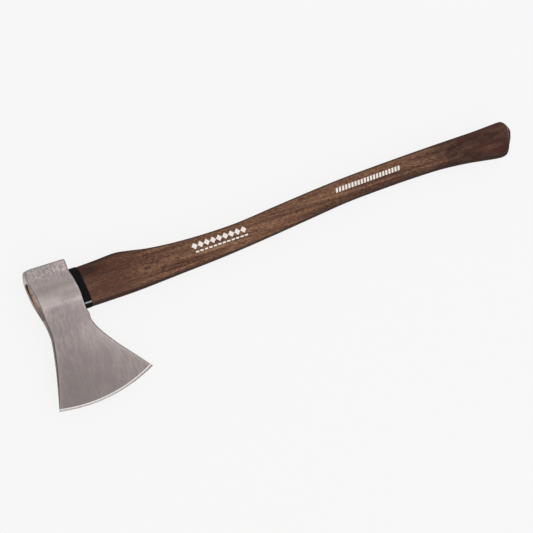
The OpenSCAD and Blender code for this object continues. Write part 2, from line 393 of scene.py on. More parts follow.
def axe_head(shift):
    """The forged head: a loft with a ground strip on its edge and a broken rim on its eye."""
    rows, edge = head_rows()
    loft = smooth_rows(rows, HEAD_STEPS)
    start = loft[-1] + (loft[-2] - loft[-1]) * STRIP_START
    strip = [loft[-1] + (edge - loft[-1]) * t for t in (MICRO_SHARE - 0.05, MICRO_SHARE, 1.0)]
    strip[0][4:6] = (loft[-1][4:6] + MICRO_HALF) / 2
    strip[1][4:6] = MICRO_HALF
    rings, wear, aside = zip(*map(head_ring, [*loft[:-1], start, loft[-1], *strip]))
    n, count = len(rings[0]), len(rings)
    points = np.vstack(rings)
    wear = np.concatenate(wear)
    add_waves(points, wear)
    faces = skin(count, n)
    for first in (0, (count - 1) * n):
        faces += [(first + i, first + n - 1 - i, first + n - 2 - i, first + i + 1)
                  for i in range(n // 2 - 1)]
    head = new_object("head", points, faces, shift)
    cut(head, eye_cutter(shift))
    mark_points(head, "wear", (points + shift) * MM, wear)
    mark_points(head, "aside", (points + shift) * MM, np.concatenate(aside))
    return head


def add_waves(points, wear):
    """Faint waves that grinding leaves in the steel. They fade out at worn and thin places."""
    for p, w in zip(points, wear):
        wave = noise.noise(Vector((p[0] / 21, p[1] / 30, np.sign(p[2]) * 7)))
        fade = min(1.0, abs(p[2]) / 4) * (1 - w)
        p[2] += np.sign(p[2]) * WAVE_DEPTH * wave * fade


def eye_cutter(shift):
    """The eye's inside, which opens out a little at both faces of the head."""
    n, past = EYE_POINTS, 1.0
    rings = [
        (-past, -RIM - past), (0.0, -RIM), (RIM, 0.0),
        (HEAD_WIDTH - RIM, 0.0), (HEAD_WIDTH, -RIM), (HEAD_WIDTH + past, -RIM - past),
    ]
    points = np.vstack([leaning_ring(stadium(n, gap), x, LEAN) for x, gap in rings])
    faces = skin(len(rings), n)
    faces += [tuple(range(n)), tuple(range((len(rings) - 1) * n, len(rings) * n))]
    return new_object("eye_cutter", points, faces, shift)


def mark_points(obj, name, points, values):
    """Copies the value of the nearest drawn point to each point of the finished mesh."""
    tree = KDTree(len(points))
    for i, p in enumerate(points):
        tree.insert(p, i)
    tree.balance()
    layer = obj.data.attributes.new(name, "FLOAT", "POINT")
    layer.data.foreach_set("value", [values[tree.find(v.co)[1]] for v in obj.data.vertices])


def mark_head_parts(obj, shift):
    """Gives the ground strip, its outer bevel and the eye's wall their own materials."""
    width = np.linalg.norm(STRIP_HEEL - STRIP_TOE)
    along = (STRIP_HEEL - STRIP_TOE) / width
    across = np.array([along[1], -along[0]])
    for face in obj.data.polygons:
        x, y, z = np.array(face.center) / MM - shift
        p = np.array([x, y]) - STRIP_TOE
        u = min(max(p @ along / width, 0.0), 1.0)
        past = p @ across - EDGE_BULGE * 4 * u * (1 - u)
        from_axis = math.hypot(max(abs(y) - EYE_RUN, 0.0), z)
        if from_axis < EYE_RADIUS + 0.5 and abs(face.normal.x) < 0.5:
            face.material_index = EYE_WALL
        elif past > BEVEL_WIDTH * MICRO_SHARE:
            face.material_index = OUTER_BEVEL
        elif past > -STRIP_MARGIN:
            face.material_index = STRIP


# -------- the handle
def handle_rings():
    """Rings from the tenon's end to the knob's, and the number of the ring that ends the knob."""
    n = HANDLE_POINTS
    tenon = stadium(n, FIT_GAP)
    rings = [leaning_ring(stadium(n, FIT_GAP + 0.5), TENON_MID, TENON_LEAN),
             leaning_ring(tenon, TENON_MID + 0.5, TENON_LEAN)]
    rings += [leaning_ring(tenon, x, 0.0) for x in (8, 20, 32, 44, 56)]
    rings.append(leaning_ring(tenon, SHOULDER_X, COLLAR_LEAN))
    for i, (percent, rise, height, thick, slope) in enumerate(HANDLE_CURVE):
        x = SHOULDER_X + (HANDLE_LENGTH - SHOULDER_X) * percent / 100
        if i == 0:
            rings.append(leaning_ring(even_oval(n, height - 1, thick - 1), x, slope, rise))
            x += 0.5
        rings.append(leaning_ring(even_oval(n, height, thick), x, slope, rise))
    last = len(rings) - 1
    for share in (0.66, 0.33, 0.08):
        outline = even_oval(n, height * share, thick * share)
        rings.append(leaning_ring(outline, x + 0.5 * (1 - share), slope, rise))
    return rings, last


def handle(shift):
    """The shaft and its tenon as one piece of wood, slotted for its wedges."""
    rings, last = handle_rings()
    n, count = HANDLE_POINTS, len(rings)
    faces = skin(count, n)
    faces += [tuple(range(n)), tuple(range((count - 1) * n, count * n))]
    points = np.vstack(rings)
    wood = new_object("handle_wood", points, faces, shift)
    cut(wood, wooden_blade(shift, WEDGE_ROOM), steel_blade(shift, 1, WEDGE_ROOM),
        steel_blade(shift, -1, WEDGE_ROOM))
    for face in wood.data.polygons:
        x, y = face.center.x / MM - shift[0], face.center.y / MM - shift[1]
        inside = x < SHOULDER_X - COLLAR_LEAN * y - 0.2
        face.material_index = BARE if inside else STAINED
    mark_side(wood, shift)
    # A painted highlight runs round the knob where it turns over, about two rows before its last.
    turn = last - 2.1 * HANDLE_STEPS
    knob_highlight = [math.exp(-((ring - turn) / KNOB_HIGHLIGHT_RINGS) ** 2) for ring in range(count)]
    mark_points(wood, "wear", (points + shift) * MM, np.repeat(knob_highlight, n))
    smooth(wood, 35)
    return wood


def mark_side(obj, shift):
    """Stores how far across the handle each point lies, from -1 below to 1 above."""
    points = np.array([v.co for v in obj.data.vertices]) / MM - shift
    rise, height, _ = handle_section(points[:, 0])
    layer = obj.data.attributes.new("side", "FLOAT", "POINT")
    layer.data.foreach_set("value", np.clip((points[:, 1] - rise) / (height / 2), -1, 1))


# -------- the wedges
CORNERS = ((-1, -1), (1, -1), (1, 1), (-1, 1))
BLOCK_FACES = [(0, 1, 2, 3), (4, 5, 6, 7), *skin(2, 4)]


def tapered_block(name, shift, length, width, thick, tip, wide_axis, place, grow=0.0):
    """A wedge that narrows along +X. Its width lies along wide_axis, Y or Z."""
    points = []
    for x, t in ((0.0, thick / 2 + grow), (length, tip / 2 + grow)):
        for a, b in CORNERS:
            w = a * (width / 2 + grow)
            points.append((x, w, b * t) if wide_axis == "Y" else (x, b * t, w))
    return new_object(name, np.array(points) + place, BLOCK_FACES, shift)


def wooden_blade(shift, grow=0.0):
    """The wooden wedge before it is trimmed, or its slot when grown."""
    return tapered_block("wedge_shape", shift, WEDGE_DEPTH, EYE_LENGTH, WEDGE_THICK,
                         WEDGE_TIP, "Y", [WEDGE_START, 0, 0], grow)


def steel_blade(shift, side, grow=0.0):
    """The steel wedge on that side, 1 towards the poll and -1 towards the bit, or its slot."""
    place = [WEDGE_START, side * STEEL_SPACING / 2, 0]
    return tapered_block("steel_shape", shift, STEEL_DEPTH, STEEL_WIDTH, STEEL_THICK,
                         STEEL_TIP, "Z", place, grow)


def outside_block(shift, x, slope):
    """Everything outside a plane that crosses the eye's axis at x and leans with y."""
    y, z, far = 60.0, 30.0, -40.0
    points = [(x - slope * a * y, a * y, b * z) for a, b in CORNERS]
    points += [(far, a * y, b * z) for a, b in CORNERS]
    return new_object("outside", points, BLOCK_FACES, shift)


def eye_ring_block(shift):
    """A thick ring around the eye's outline, to trim the wooden wedge to the tenon."""
    inner = stadium(EYE_POINTS, FIT_GAP)
    outer = stadium(EYE_POINTS, FIT_GAP - 12)
    near, far = -20.0, 60.0
    places = ((inner, near), (outer, near), (outer, far), (inner, far))
    points = np.vstack([leaning_ring(outline, x, 0) for outline, x in places])
    faces = skin(len(places), EYE_POINTS, closed=True)
    return new_object("eye_ring", points, faces, shift)


def bevel(obj, width):
    """Rounds the piece's sharp edges and keeps the result in its mesh."""
    bm = bmesh.new()
    bm.from_mesh(obj.data)
    limit = math.radians(30)
    edges = [e for e in bm.edges if e.is_manifold and e.calc_face_angle() > limit]
    bmesh.ops.bevel(bm, geom=edges, offset=width * MM, segments=2, profile=0.5,
                    affect="EDGES", clamp_overlap=True)
    bm.to_mesh(obj.data)
    bm.free()


def eye_wedge(shift):
    """Hardwood wedge, trimmed flush with the tenon and cut by the steel wedges."""
    wedge = wooden_blade(shift)
    wedge.name = "wedge_wood"
    cut(wedge, outside_block(shift, TENON_MID, TENON_LEAN), eye_ring_block(shift),
        steel_blade(shift, 1, WEDGE_ROOM), steel_blade(shift, -1, WEDGE_ROOM))
    smooth(wedge, 25)
    return wedge


def steel_wedge(shift, side, name):
    """Steel wedge across the tenon, its struck end left just above the wood."""
    wedge = steel_blade(shift, side)
    wedge.name = name
    cut(wedge, outside_block(shift, TENON_MID - STEEL_PROUD, TENON_LEAN))
    bevel(wedge, 0.25)
    smooth(wedge, 40)
    return wedge


# -------- the collar
def collar_rings():
    """Rings over the sleeve's outside. Its two rims turn over into the bore."""
    n, rim = COLLAR_POINTS, COLLAR_RIM
    height, thick = SHOULDER[0] + 2 * COLLAR_PROUD, SHOULDER[1] + 2 * COLLAR_PROUD
    near, far = HEAD_WIDTH + FIT_GAP, COLLAR_FAR
    turns = [math.radians(a) for a in range(0, 91, 15)]
    places = [(near + rim * (1 - math.cos(a)), LEAN, 1 - math.sin(a)) for a in turns]
    for share in (0.3, 0.55, 0.8):
        x = near + rim + (far - near - 2 * rim) * share
        places.append((x, LEAN + (COLLAR_LEAN - LEAN) * share, 0.0))
    places += [(far - rim * (1 - math.cos(a)), COLLAR_LEAN, 1 - math.sin(a))
               for a in reversed(turns)]
    bore = stadium(n, -FIT_GAP)
    rings = [leaning_ring(bore, near, LEAN)]
    for x, slope, inset in places:
        outline = even_oval(n, height - 2 * rim * inset, thick - 2 * rim * inset)
        rings.append(leaning_ring(outline, x, slope))
    return [*rings, leaning_ring(bore, far, COLLAR_LEAN)]


def collar(shift):
    """Glossy sleeve with rounded rims, between the head's front face and the shoulder."""
    rings = collar_rings()
    faces = skin(len(rings), COLLAR_POINTS, closed=True)
    sleeve = new_object("collar_sleeve", np.vstack(rings), faces, shift)
    smooth(sleeve, 40)
    return sleeve


# -------- the prints
def handle_surface(x, y):
    """Height of the handle's upper side at (x, y)."""
    rise, height, thick = handle_section(x)
    share = abs(y - rise) / (height / 2)
    return thick / 2 * (1 - share**OVAL_POWER) ** (1 / OVAL_POWER)


def patch_faces(first, n):
    """Faces of a thin closed patch of n by n squares: its top, its underside and its rim."""
    row, layer = n + 1, (n + 1) ** 2
    faces = []
    for i, j in itertools.product(range(n), repeat=2):
        k = first + i * row + j
        faces.append((k, k + row, k + row + 1, k + 1))
        faces.append((k + layer, k + layer + 1, k + layer + row + 1, k + layer + row))
    rim = [i * row for i in range(n)] + [n * row + j for j in range(n)]
    rim += [i * row + n for i in range(n, 0, -1)] + list(range(n, 0, -1))
    for k, m in zip(rim, rim[1:] + rim[:1]):
        faces.append((first + k, first + m, first + m + layer, first + k + layer))
    return faces


def printed(name, shapes, shift):
    """Thin painted shapes on the wood. Each is (centre, half side, other half side)."""
    points, faces, n = [], [], 4
    steps = np.linspace(-1, 1, n + 1)
    for centre, a, b in shapes:
        faces += patch_faces(len(points), n)
        for lift, u, v in itertools.product((PRINT_TOP, PRINT_UNDERSIDE), steps, steps):
            x, y = centre + u * a + v * b
            points.append((x, y, handle_surface(x, y) + lift))
    mark = new_object(name, points, faces, shift)
    smooth(mark, 40)
    return mark


def band(start, end, count, half_side, other_half_side):
    """A row of equal shapes, evenly spaced from start to end."""
    start, run = np.array(start), np.array(end) - np.array(start)
    return [(start + t * run, np.array(half_side), np.array(other_half_side))
            for t in (np.arange(count) + 0.5) / count]


def large_print(shift):
    """A plain border: a row of lozenges over a thin broken line."""
    half = 2.15
    shapes = band((213.5, 5.9), (292.5, 7.3), 9, (half, half), (-half, half))
    shapes += band((216, -1.9), (293, -0.4), 12, (2.3, 0), (0, 1))
    return printed("print_large", shapes, shift)


def small_print(shift):
    """A plain border: a row of small slanted bars."""
    shapes = band((428, 18.8), (528, 22.4), 21, (1.5, 0.05), (0.9, 3.0))
    return printed("print_small", shapes, shift)


# -------- material helpers
class Shade:
    """Builds one node material around a Principled shader."""

    def __init__(self, name, **constants):
        """An empty material with the shader's constants set."""
        self.material = bpy.data.materials.new(name)
        self.material.use_nodes = True
        self.tree = self.material.node_tree
        self.tree.nodes.clear()
        out = self.tree.nodes.new("ShaderNodeOutputMaterial")
        self.shader = self.add("BsdfPrincipled", **constants)
        self.tree.links.new(self.shader.outputs[0], out.inputs["Surface"])
        self.place = self.add("TexCoord").outputs["Object"]

    def add(self, kind, settings=None, **inputs):
        """A node of that kind. Inputs go by name, with _ for a space, or by number, as i0."""
        node = self.tree.nodes.new("ShaderNode" + kind)
        for key, value in (settings or {}).items():
            setattr(node, key, value)
        for key, value in inputs.items():
            by_number = key[0] == "i" and key[1:].isdigit()
            self.plug(node.inputs[int(key[1:]) if by_number else key.replace("_", " ")], value)
        return node

    def plug(self, socket, value):
        """Links a node or socket to the socket, or sets the socket to a constant."""
        if isinstance(value, bpy.types.Node):
            value = value.outputs[0]
        if isinstance(value, bpy.types.NodeSocket):
            self.tree.links.new(value, socket)
        elif hasattr(socket.default_value, "__len__") and len(socket.default_value) == 4 \
                and len(value) == 3:
            socket.default_value = (*value, 1.0)
        else:
            socket.default_value = value

    def complete(self, colour, roughness, normal):
        """Gives the shader its colour, roughness and relief, and returns the material."""
        for name, value in (("Base Color", colour), ("Roughness", roughness), ("Normal", normal)):
            self.plug(self.shader.inputs[name], value)
        return self.material

    def axes(self):
        """The place's X, Y and Z in the object."""
        return self.add("SeparateXYZ", Vector=self.place).outputs[:3]

    def attribute(self, name):
        """A value stored on the mesh's points."""
        return self.add("Attribute", {"attribute_name": name}).outputs["Fac"]

    def scaled(self, scale, rotation=(0, 0, 0), source=None, shift=(0, 0, 0)):
        """The place in the object, stretched and turned."""
        return self.add("Mapping", Vector=source or self.place, Scale=scale,
                        Rotation=rotation, Location=shift)

    def noise(self, vector, detail=2.0, rough=0.5):
        """Smooth random values from 0 to 1."""
        return self.add("TexNoise", Vector=vector, Scale=1.0, Detail=detail,
                        Roughness=rough).outputs["Fac"]

    def math(self, operation, a, b=0.0, c=0.0, clamp=False):
        """The result of one sum."""
        return self.add("Math", {"operation": operation, "use_clamp": clamp},
                        i0=a, i1=b, i2=c).outputs[0]

    def times(self, a, b, clamp=False):
        """a times b."""
        return self.math("MULTIPLY", a, b, clamp=clamp)

    def plus(self, a, b):
        """a and b together."""
        return self.math("ADD", a, b)

    def minus(self, a, b):
        """a less b."""
        return self.math("SUBTRACT", a, b)

    def larger(self, a, b):
        """The larger of a and b."""
        return self.math("MAXIMUM", a, b)

    def apart(self, value, middle):
        """How far value lies from middle, on either side."""
        return self.math("ABSOLUTE", self.minus(value, middle))

    def distance(self, vector, point):
        """How far vector lies from point."""
        return self.add("VectorMath", {"operation": "DISTANCE"}, i0=vector,
                        i1=point).outputs["Value"]

    def waves(self, value, length):
        """A wave from 0 to 1 and back, once in each length of value."""
        turns = self.times(value, 2 * math.pi / length)
        return self.math("MULTIPLY_ADD", self.math("SINE", turns), 0.5, 0.5)

    def span(self, value, low, high, to_low=0.0, to_high=1.0):
        """value from low..high to to_low..to_high, held at the ends."""
        return self.add("MapRange", {"clamp": True, "interpolation_type": "SMOOTHSTEP"},
                        i0=value, i1=low, i2=high, i3=to_low, i4=to_high).outputs[0]

    def blend(self, factor, a, b, mode="MIX"):
        """A colour between a and b."""
        node = self.add("Mix", {"data_type": "RGBA", "blend_type": mode})
        self.plug(node.inputs[0], factor)
        self.plug(node.inputs[6], a)
        self.plug(node.inputs[7], b)
        return node.outputs[2]

    def bump(self, height, strength, distance, normal=None):
        """Relief from height, on top of an earlier relief if one is given."""
        node = self.add("Bump", Height=height, Strength=strength, Distance=distance)
        if normal is not None:
            self.plug(node.inputs["Normal"], normal)
        return node.outputs[0]


# -------- steel
def mottled(s, colour, speckle, poll):
    """Dark and light mottling from the forge, on the poll."""
    dark = s.times(s.span(speckle, 0.46, 0.62), poll)
    colour = s.blend(s.times(dark, 0.50), colour, (0.200, 0.165, 0.166))
    light = s.times(s.span(speckle, 0.46, 0.34), poll)
    return s.blend(s.times(light, 0.45), colour, (0.62, 0.57, 0.56))


def painted_light_bands(s, colour, x, y, eye_y, mid_x):
    """A painted shade band over the swell of the eye and a painted highlight band below it, which
    fades past mid_x.
    """
    dark = s.apart(y, eye_y + 0.0085)
    colour = s.blend(s.span(dark, 0.008, 0.001, 0.0, 0.50), colour, (0.250, 0.212, 0.208))
    slanted = s.math("MULTIPLY_ADD", s.minus(x, mid_x), 0.12, y)
    light = s.span(s.apart(slanted, eye_y - 0.0056), 0.009, 0.001)
    light = s.times(light, s.span(x, mid_x + 0.003, mid_x + 0.013, 0.42, 0.05))
    return s.blend(light, colour, (0.66, 0.60, 0.585))


def wear_and_painted_rim_light(s, colour, y, eye_y):
    """Corners lighter with wear, a painted highlight on the rims beside the poll, and painted shade
    from beside the eye down the blade.
    """
    colour = s.blend(s.times(s.attribute("wear"), 0.20), colour, (0.56, 0.52, 0.50))
    aside = s.attribute("aside")
    rim = s.span(aside, 0.3, 0.8)
    # Painted highlight on the rims beside the poll.
    rim_highlight = s.times(rim, s.span(y, eye_y + 0.020, eye_y + 0.027))
    colour = s.blend(s.times(rim_highlight, 0.30), colour, (0.66, 0.62, 0.60))
    # Painted shade on the faces that face sideways, from beside the eye downwards.
    rim_shade = s.times(s.span(aside, 0.6, 0.95), s.span(y, eye_y + 0.027, eye_y + 0.018))
    colour = s.blend(s.times(rim_shade, 0.75), colour, (0.190, 0.150, 0.130))
    # Painted shade on the rims down the blade.
    dark = s.times(rim, s.span(y, eye_y - 0.022, eye_y - 0.040))
    return s.blend(s.times(dark, 0.75), colour, (0.115, 0.098, 0.095))


def steel_material(poll_y, eye_y, neck_y, bit_y, mid_x, heel_x):
    """Brushed, lightly stained steel, with painted shade and painted highlights. The grinding marks
    run from poll to bit.
    """
    s = Shade("brushed_steel", Metallic=1.0)
    turn = (0, 0, math.radians(6))
    marks = s.noise(s.scaled((420, 62, 62), turn), 3.0, 0.6)
    fine = s.noise(s.scaled((1100, 150, 150), turn), 3.0, 0.6)
    cloudy = s.noise(s.scaled((46, 34, 34)), 4.0, 0.6)
    speckle = s.noise(s.scaled((430, 300, 430), (0, 0, 0.6)), 3.0, 0.65)
    x, y, _ = s.axes()
    poll = s.span(y, poll_y - 0.030, poll_y - 0.012)
    from_eye = s.apart(y, eye_y + 0.008)
    worked = s.span(from_eye, 0.012, 0.026, 0.35, 1.0)

    tone = s.plus(s.times(marks, 0.5), s.times(fine, 0.5))
    tone = s.math("MULTIPLY_ADD", s.minus(tone, 0.5), worked, 0.5)
    colour = s.blend(s.span(tone, 0.34, 0.66), (0.300, 0.256, 0.252), (0.450, 0.396, 0.388))
    cloud = s.times(s.span(cloudy, 0.42, 0.7), 0.45)
    colour = s.blend(cloud, colour, (0.270, 0.228, 0.230))
    colour = mottled(s, colour, speckle, poll)
    # Painted shade: the steel darkens towards the bit, most on the toe's side.
    blade = s.larger(s.span(y, neck_y, bit_y), s.span(y, eye_y, neck_y, 0.0, 0.16))
    painted_blade_shade = s.times(s.times(blade, s.span(x, heel_x, mid_x, 0.38, 1.0)), 0.72)
    colour = s.blend(painted_blade_shade, colour, (0.222, 0.190, 0.185))
    colour = painted_light_bands(s, colour, x, y, eye_y, mid_x)
    colour = wear_and_painted_rim_light(s, colour, y, eye_y)

    rough = s.plus(s.span(marks, 0.3, 0.7, 0.0, 0.10), s.times(cloudy, 0.06))
    rough = s.plus(rough, s.span(from_eye, 0.010, 0.028, 0.24, 0.34))
    strength = s.times(worked, 0.16)
    relief = s.bump(marks, strength, 0.0004)
    relief = s.bump(fine, strength, 0.00012, relief)
    relief = s.bump(speckle, s.times(poll, 0.45), 0.0003, relief)
    return s.complete(colour, rough, relief)


def ground_material(name, low, high):
    """Freshly ground steel of the cutting edge, with marks across it."""
    s = Shade(name, Metallic=1.0)
    marks = s.noise(s.scaled((2400, 160, 160)), 3.0, 0.6)
    colour = s.blend(s.span(marks, 0.3, 0.7), low, high)
    return s.complete(colour, s.span(marks, 0.3, 0.7, 0.24, 0.36), s.bump(marks, 0.15, 0.0001))


def scale_and_shade_material():
    """Dark forging scale on the wall of the eye, darkened to near black as painted shade of the
    recess.
    """
    s = Shade("forging_scale_and_shade", IOR=1.6)
    crust = s.noise(s.scaled((500, 500, 500)), 4.0, 0.65)
    dark, light = (0.012, 0.009, 0.008), (0.050, 0.036, 0.028)
    colour = s.blend(s.span(crust, 0.35, 0.65), dark, light)
    return s.complete(colour, s.span(crust, 0.3, 0.7, 0.65, 0.85), s.bump(crust, 0.4, 0.0004))


def wedge_steel_material():
    """Dull mild steel with hammer marks and a little rust."""
    s = Shade("mild_steel", Metallic=1.0)
    dents = s.noise(s.scaled((480, 480, 480)), 3.0, 0.6)
    stain = s.noise(s.scaled((260, 260, 260), shift=(0.4, 0.1, 0)), 4.0, 0.7)
    colour = s.blend(s.span(dents, 0.3, 0.7), (0.17, 0.16, 0.155), (0.33, 0.32, 0.31))
    colour = s.blend(s.span(stain, 0.55, 0.75, 0.0, 0.7), colour, (0.13, 0.062, 0.032))
    return s.complete(colour, s.span(stain, 0.3, 0.75, 0.38, 0.7), s.bump(dents, 0.35, 0.0004))


# -------- wood
def from_pith(s):
    """Distance from the heart of the tree, which lies well below the handle."""
    return s.distance(s.scaled((0.05, 1, 1)), (0, -0.07, -0.11))


def bent(s, drift):
    """The place in the wood, pushed sideways so that the fibres follow the growth rings."""
    x, y, z = s.axes()
    joined = s.add("CombineXYZ", X=x, Z=z)
    s.plug(joined.inputs[1], s.plus(y, drift))
    return joined.outputs[0]


def grain(s, knot):
    """Values that make up straight-grained hickory: growth rings, streaks, fibres, pores."""
    wander = s.noise(s.scaled((4.5, 16, 16)), 2.0)
    drift = s.times(s.minus(wander, 0.5), 0.012)
    away = s.distance(s.scaled((0.6, 1.5, 1)), (0.6 * knot[0], 1.5 * knot[1], knot[2]))
    ragged = s.noise(s.scaled((260, 420, 420)), 2.0)
    away = s.plus(away, s.times(s.minus(ragged, 0.5), 0.009))
    near_knot = s.span(away, 0.015, 0.001)
    drift = s.plus(drift, s.times(near_knot, 0.010))
    rings = s.waves(s.plus(from_pith(s), drift), 0.0042)
    along = bent(s, drift)
    streaks = s.noise(s.scaled((9, 210, 210), source=along), 4.0, 0.6)
    fibres = s.noise(s.scaled((34, 1100, 1100), source=along), 3.0, 0.6)
    pores = s.noise(s.scaled((210, 1500, 1500), source=along), 1.0)
    return rings, streaks, fibres, pores, away


def wood_stain(s, rings, streaks, fibres):
    """The stain's colour along the grain, from dark streaks to light ones."""
    grit = s.noise(s.scaled((230, 640, 640), (0, 0, 0.05)), 2.0, 0.55)
    tone = s.plus(s.times(streaks, 0.40), s.times(fibres, 0.20))
    tone = s.plus(tone, s.times(grit, 0.40))
    tone = s.plus(tone, s.times(s.minus(rings, 0.5), 0.05))
    ramp = s.add("ValToRGB", Fac=tone)
    stops = [(0.37, (0.046, 0.018, 0.010)), (0.46, (0.120, 0.053, 0.030)),
             (0.54, (0.200, 0.098, 0.054)), (0.63, (0.340, 0.186, 0.106))]
    elements = ramp.color_ramp.elements
    while len(elements) < len(stops):
        elements.new(0.5)
    for element, (position, colour) in zip(elements, stops):
        element.position = position
        element.color = (*colour, 1.0)
    return ramp.outputs[0]


def calm_ends(s, colour, x, side, shoulder_x, knob_x):
    """Evens out the streaks at the shoulder and the knob, and pales the shoulder's underside."""
    calm = s.larger(s.span(x, shoulder_x + 0.12, shoulder_x + 0.02, 0.0, 0.32),
                    s.span(x, knob_x, knob_x + 0.07, 0.0, 0.50))
    colour = s.blend(calm, colour, (0.140, 0.058, 0.036))
    pale = s.times(s.span(x, shoulder_x + 0.09, shoulder_x), s.span(side, 0.1, -0.4, 0.0, 0.40))
    return s.blend(pale, colour, (0.170, 0.088, 0.064))


def stain_and_painted_shade(s, colour, x, side, blotch, shoulder_x, grip_x, knob_x):
    """Darker stain at the shoulder and the knob, and painted shade under the grip and along both
    edges.
    """
    clouds = s.noise(s.scaled((14, 46, 46)), 3.0)
    near_head = s.span(x, shoulder_x + 0.11, shoulder_x + 0.005)
    near_head = s.times(near_head, s.span(side, -0.35, 0.35, 0.44, 0.74))
    # Painted shade on the underside past the grip.
    below = s.times(s.span(side, 0.15, -0.75), s.span(x, grip_x, grip_x + 0.08, 0, 0.5))
    near_knob = s.span(x, knob_x - 0.05, knob_x + 0.04, 0.0, 0.76)
    near_knob = s.times(near_knob, s.span(side, 0.95, 0.35, 0.55, 1.0))
    near_knob = s.times(near_knob, s.span(blotch, 0.36, 0.60, 0.72, 1.22))
    dark = s.larger(s.larger(near_head, below), near_knob)
    dark = s.times(dark, s.span(clouds, 0.38, 0.60, 0.55, 1.25), clamp=True)
    colour = s.blend(dark, colour, (0.030, 0.012, 0.008))
    # Painted shade along both edges.
    edge = s.larger(s.span(side, -0.76, -0.91, 0.0, 0.85), s.span(side, 0.84, 0.96, 0.0, 0.75))
    return s.blend(edge, colour, (0.026, 0.014, 0.009))


def red_ends(s, colour, x, blotch, shoulder_x, knob_x):
    """Reddish blotches at the shoulder and the knob."""
    ends = s.larger(s.span(x, knob_x, knob_x + 0.08),
                    s.span(x, shoulder_x + 0.10, shoulder_x, 0.0, 0.9))
    return s.blend(s.times(ends, s.span(blotch, 0.46, 0.60, 0.0, 0.6)), colour,
                   (0.085, 0.020, 0.012))


def knot_marks(s, colour, away):
    """The knot's light halo and its dark heart. away is the distance from it."""
    halo = s.times(s.span(away, 0.0085, 0.0055), s.span(away, 0.0015, 0.0045))
    colour = s.blend(s.times(halo, 0.28), colour, (0.32, 0.18, 0.11))
    return s.blend(s.span(away, 0.0030, 0.0010, 0.0, 0.6), colour, (0.022, 0.010, 0.007))


def stained_wood(knot, shoulder_x, grip_x, knob_x):
    """Dark stained hickory under satin lacquer, with open pores, a knot, painted shade along its
    edges and under the grip, and a painted highlight round the knob.
    """
    s = Shade("stained_hickory", Coat_Weight=0.08, Coat_Roughness=0.30, Specular_IOR_Level=0.12)
    rings, streaks, fibres, pores, away = grain(s, knot)
    x = s.axes()[0]
    side = s.attribute("side")
    blotch = s.noise(s.scaled((48, 85, 85), shift=(0.3, 0.1, 0)), 3.0, 0.6)
    colour = wood_stain(s, rings, streaks, fibres)
    colour = calm_ends(s, colour, x, side, shoulder_x, knob_x)
    colour = stain_and_painted_shade(s, colour, x, side, blotch, shoulder_x, grip_x, knob_x)
    colour = red_ends(s, colour, x, blotch, shoulder_x, knob_x)
    flecks = s.times(s.span(pores, 0.54, 0.64), s.span(rings, 0.2, 0.9, 0.5, 0.9))
    colour = s.blend(s.times(flecks, 0.55), colour, (0.018, 0.008, 0.005))
    colour = knot_marks(s, colour, away)
    # On the handle this attribute holds only the knob's painted highlight.
    colour = s.blend(s.times(s.attribute("wear"), 0.80), colour, (0.34, 0.23, 0.19))
    relief = s.bump(fibres, 0.12, 0.0003)
    relief = s.bump(s.minus(1.0, flecks), 0.30, 0.00025, relief)
    return s.complete(colour, s.span(fibres, 0.3, 0.7, 0.45, 0.62), relief)


def bare_wood(name, light, dark, ring_gap, light_y, dark_y):
    """Unstained wood with open grain, as on a sawn tenon or wedge. It grows darker towards the bit.
    """
    s = Shade(name, IOR=1.4)
    wander = s.noise(s.scaled((40, 60, 60)), 3.0)
    rings = s.waves(s.math("MULTIPLY_ADD", wander, 0.002, from_pith(s)), ring_gap)
    pores = s.noise(s.scaled((220, 1300, 1300)), 2.0, 0.6)
    stain = s.noise(s.scaled((60, 60, 60)), 4.0, 0.65)
    colour = s.blend(s.span(rings, 0.1, 0.9, 0.15, 0.85), light, dark)
    colour = s.blend(s.span(stain, 0.45, 0.75, 0.0, 0.6), colour, dark)
    darker = s.span(s.axes()[1], light_y, dark_y, 0.0, 0.85)
    colour = s.blend(darker, colour, (0.155, 0.115, 0.105))
    specks = s.span(pores, 0.56, 0.68)
    colour = s.blend(s.times(specks, 0.65), colour, tuple(0.25 * c for c in dark))
    relief = s.bump(s.minus(1.0, specks), 0.4, 0.0003)
    return s.complete(colour, s.span(pores, 0.3, 0.7, 0.62, 0.8), relief)


# -------- sleeve and print
def collar_material(low_y, high_y):
    """Glossy black sleeve with faint moulding ripples, dust and a painted highlight line low down.
    """
    s = Shade("gloss_black", Specular_IOR_Level=0.08)
    ripple = s.noise(s.scaled((160, 160, 160)), 2.0)
    dust = s.noise(s.scaled((900, 900, 900)), 3.0, 0.7)
    colour = s.blend(s.span(dust, 0.5, 0.8), (0.0022, 0.0023, 0.0028), (0.013, 0.014, 0.016))
    y, middle = s.axes()[1], (low_y + high_y) / 2
    # Painted highlight: a light line along the sleeve's lower side.
    highlight_line = s.times(s.span(y, low_y, middle), s.span(y, high_y, middle))
    colour = s.blend(s.times(highlight_line, 0.85), colour, (0.46, 0.46, 0.48))
    relief = s.bump(ripple, 0.12, 0.0006, s.bump(dust, 0.05, 0.0001))
    return s.complete(colour, s.span(dust, 0.35, 0.75, 0.14, 0.30), relief)


